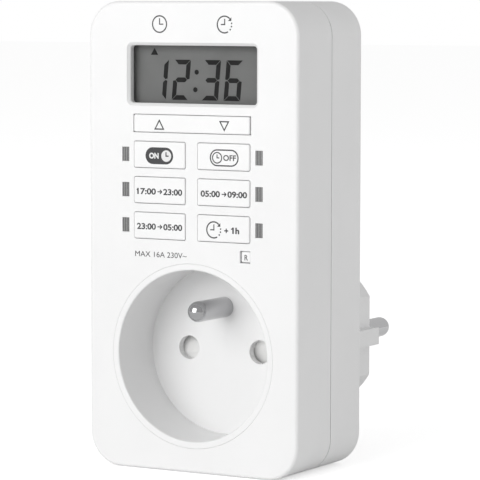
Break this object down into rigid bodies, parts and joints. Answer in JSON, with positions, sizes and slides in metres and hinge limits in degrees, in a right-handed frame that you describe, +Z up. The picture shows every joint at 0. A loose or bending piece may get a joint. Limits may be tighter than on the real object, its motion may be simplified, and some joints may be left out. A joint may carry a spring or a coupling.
{
  "type": "plug in timer switch",
  "caption": "Plug in timer switch: white case with display, sprung keys and a rocker over a recessed earth-pin socket, with a round plug behind.",
  "frame": {"origin": "centre of the plug's end face, between its two pins", "axes": "+X to the right seen from the front, +Y into the wall along the plug's pins, +Z up"},
  "size_m": [0.0552, 0.0774, 0.1075],
  "materials": {
    "front_white": "satin moulded ABS",
    "rear_white": "satin moulded ABS",
    "insert_white": "smooth moulded socket insert",
    "key_white": "satin moulded key",
    "shutter_white": "moulded shutter",
    "carrier_white": "moulded carrier",
    "pin_nickel": "nickel-plated brass",
    "brass": "stamped brass strip",
    "window_clear": "clear polycarbonate",
    "lcd_grey": "reflective display",
    "frame_white": "moulded frame",
    "lens_smoke": "smoked light pipe",
    "lamp": "lamp package",
    "rubber_grey": "silicone",
    "rubber_dark": "layered contact rubber",
    "board_green": "glass-epoxy board",
    "part_black": "moulded component",
    "relay_blue": "moulded relay case",
    "part_yellow": "dipped or boxed component",
    "can_metal": "metal can",
    "screw_steel": "zinc-plated steel",
    "spring_steel": "spring wire"
  },
  "bodies": {
    "housing": {"front_cover": "front_white", "rear_cover": "rear_white", "socket_insert": "insert_white", "socket_earth_pin": "pin_nickel", "contact_carrier": "carrier_white", "neutral_contact": "brass", "line_contact": "brass", "line_pin_link": "brass", "earth_strap": "brass", "earth_bracket": "brass", "plug_earth_sleeve": "pin_nickel", "plug_pin_left": "pin_nickel", "plug_pin_right": "pin_nickel", "display_window": "window_clear", "lcd_panel": "lcd_grey", "zebra_strip": "rubber_dark", "lcd_frame": "frame_white", "control_board": "board_green", "keypad_mat": "rubber_grey", "led_lens_left": "lens_smoke", "led_lens_right": "lens_smoke", "leds": "lamp", "controller_chip": "part_black", "crystal": "can_metal", "backup_battery": "can_metal", "power_board": "board_green", "relay": "relay_blue", "film_capacitor": "part_yellow", "smoothing_capacitor": "part_black", "varistor": "part_yellow", "fuse": "part_black", "board_link": "part_black", "case_screws": "screw_steel", "control_board_screws": "screw_steel", "power_board_screws": "screw_steel", "carrier_screws": "screw_steel", "shutter_spring": "spring_steel"},
    "key_on": {"key_on": "key_white"},
    "key_off": {"key_off": "key_white"},
    "key_evening": {"key_evening": "key_white"},
    "key_morning": {"key_morning": "key_white"},
    "key_night": {"key_night": "key_white"},
    "key_one_hour": {"key_one_hour": "key_white"},
    "reset_key": {"reset_key": "key_white"},
    "rocker_key": {"rocker_key": "key_white"},
    "shutter": {"shutter": "shutter_white"}
  },
  "joints": [
    {"name": "key_on_press", "type": "slide", "parent": "housing", "child": "key_on", "axis": [0, 1, 0], "range_m": [0, 0.0007], "stiffness_N_per_m": 1500, "springref_m": -0.0002, "deforming": ["keypad_mat"]},
    {"name": "key_off_press", "type": "slide", "parent": "housing", "child": "key_off", "axis": [0, 1, 0], "range_m": [0, 0.0007], "stiffness_N_per_m": 1500, "springref_m": -0.0002, "deforming": ["keypad_mat"]},
    {"name": "key_evening_press", "type": "slide", "parent": "housing", "child": "key_evening", "axis": [0, 1, 0], "range_m": [0, 0.0007], "stiffness_N_per_m": 1500, "springref_m": -0.0002, "deforming": ["keypad_mat"]},
    {"name": "key_morning_press", "type": "slide", "parent": "housing", "child": "key_morning", "axis": [0, 1, 0], "range_m": [0, 0.0007], "stiffness_N_per_m": 1500, "springref_m": -0.0002, "deforming": ["keypad_mat"]},
    {"name": "key_night_press", "type": "slide", "parent": "housing", "child": "key_night", "axis": [0, 1, 0], "range_m": [0, 0.0007], "stiffness_N_per_m": 1500, "springref_m": -0.0002, "deforming": ["keypad_mat"]},
    {"name": "key_one_hour_press", "type": "slide", "parent": "housing", "child": "key_one_hour", "axis": [0, 1, 0], "range_m": [0, 0.0007], "stiffness_N_per_m": 1500, "springref_m": -0.0002, "deforming": ["keypad_mat"]},
    {"name": "reset_key_press", "type": "slide", "parent": "housing", "child": "reset_key", "axis": [0, 1, 0], "range_m": [0, 0.0006], "stiffness_N_per_m": 1500, "springref_m": -0.0002, "deforming": ["keypad_mat"]},
    {"name": "rocker_tilt", "type": "hinge", "parent": "housing", "child": "rocker_key", "pos_m": [0, -0.0546, 0.0529], "axis": [0, 0, 1], "range_deg": [-2.5, 2.5], "stiffness_Nm_per_rad": 0.25, "deforming": ["keypad_mat"]},
    {"name": "shutter_turn", "type": "hinge", "parent": "housing", "child": "shutter", "pos_m": [0, -0.03995, 0], "axis": [0, -1, 0], "range_deg": [0, 38], "stiffness_Nm_per_rad": 0.005, "springref_deg": -17.19, "deforming": ["shutter_spring"]}
  ]
}
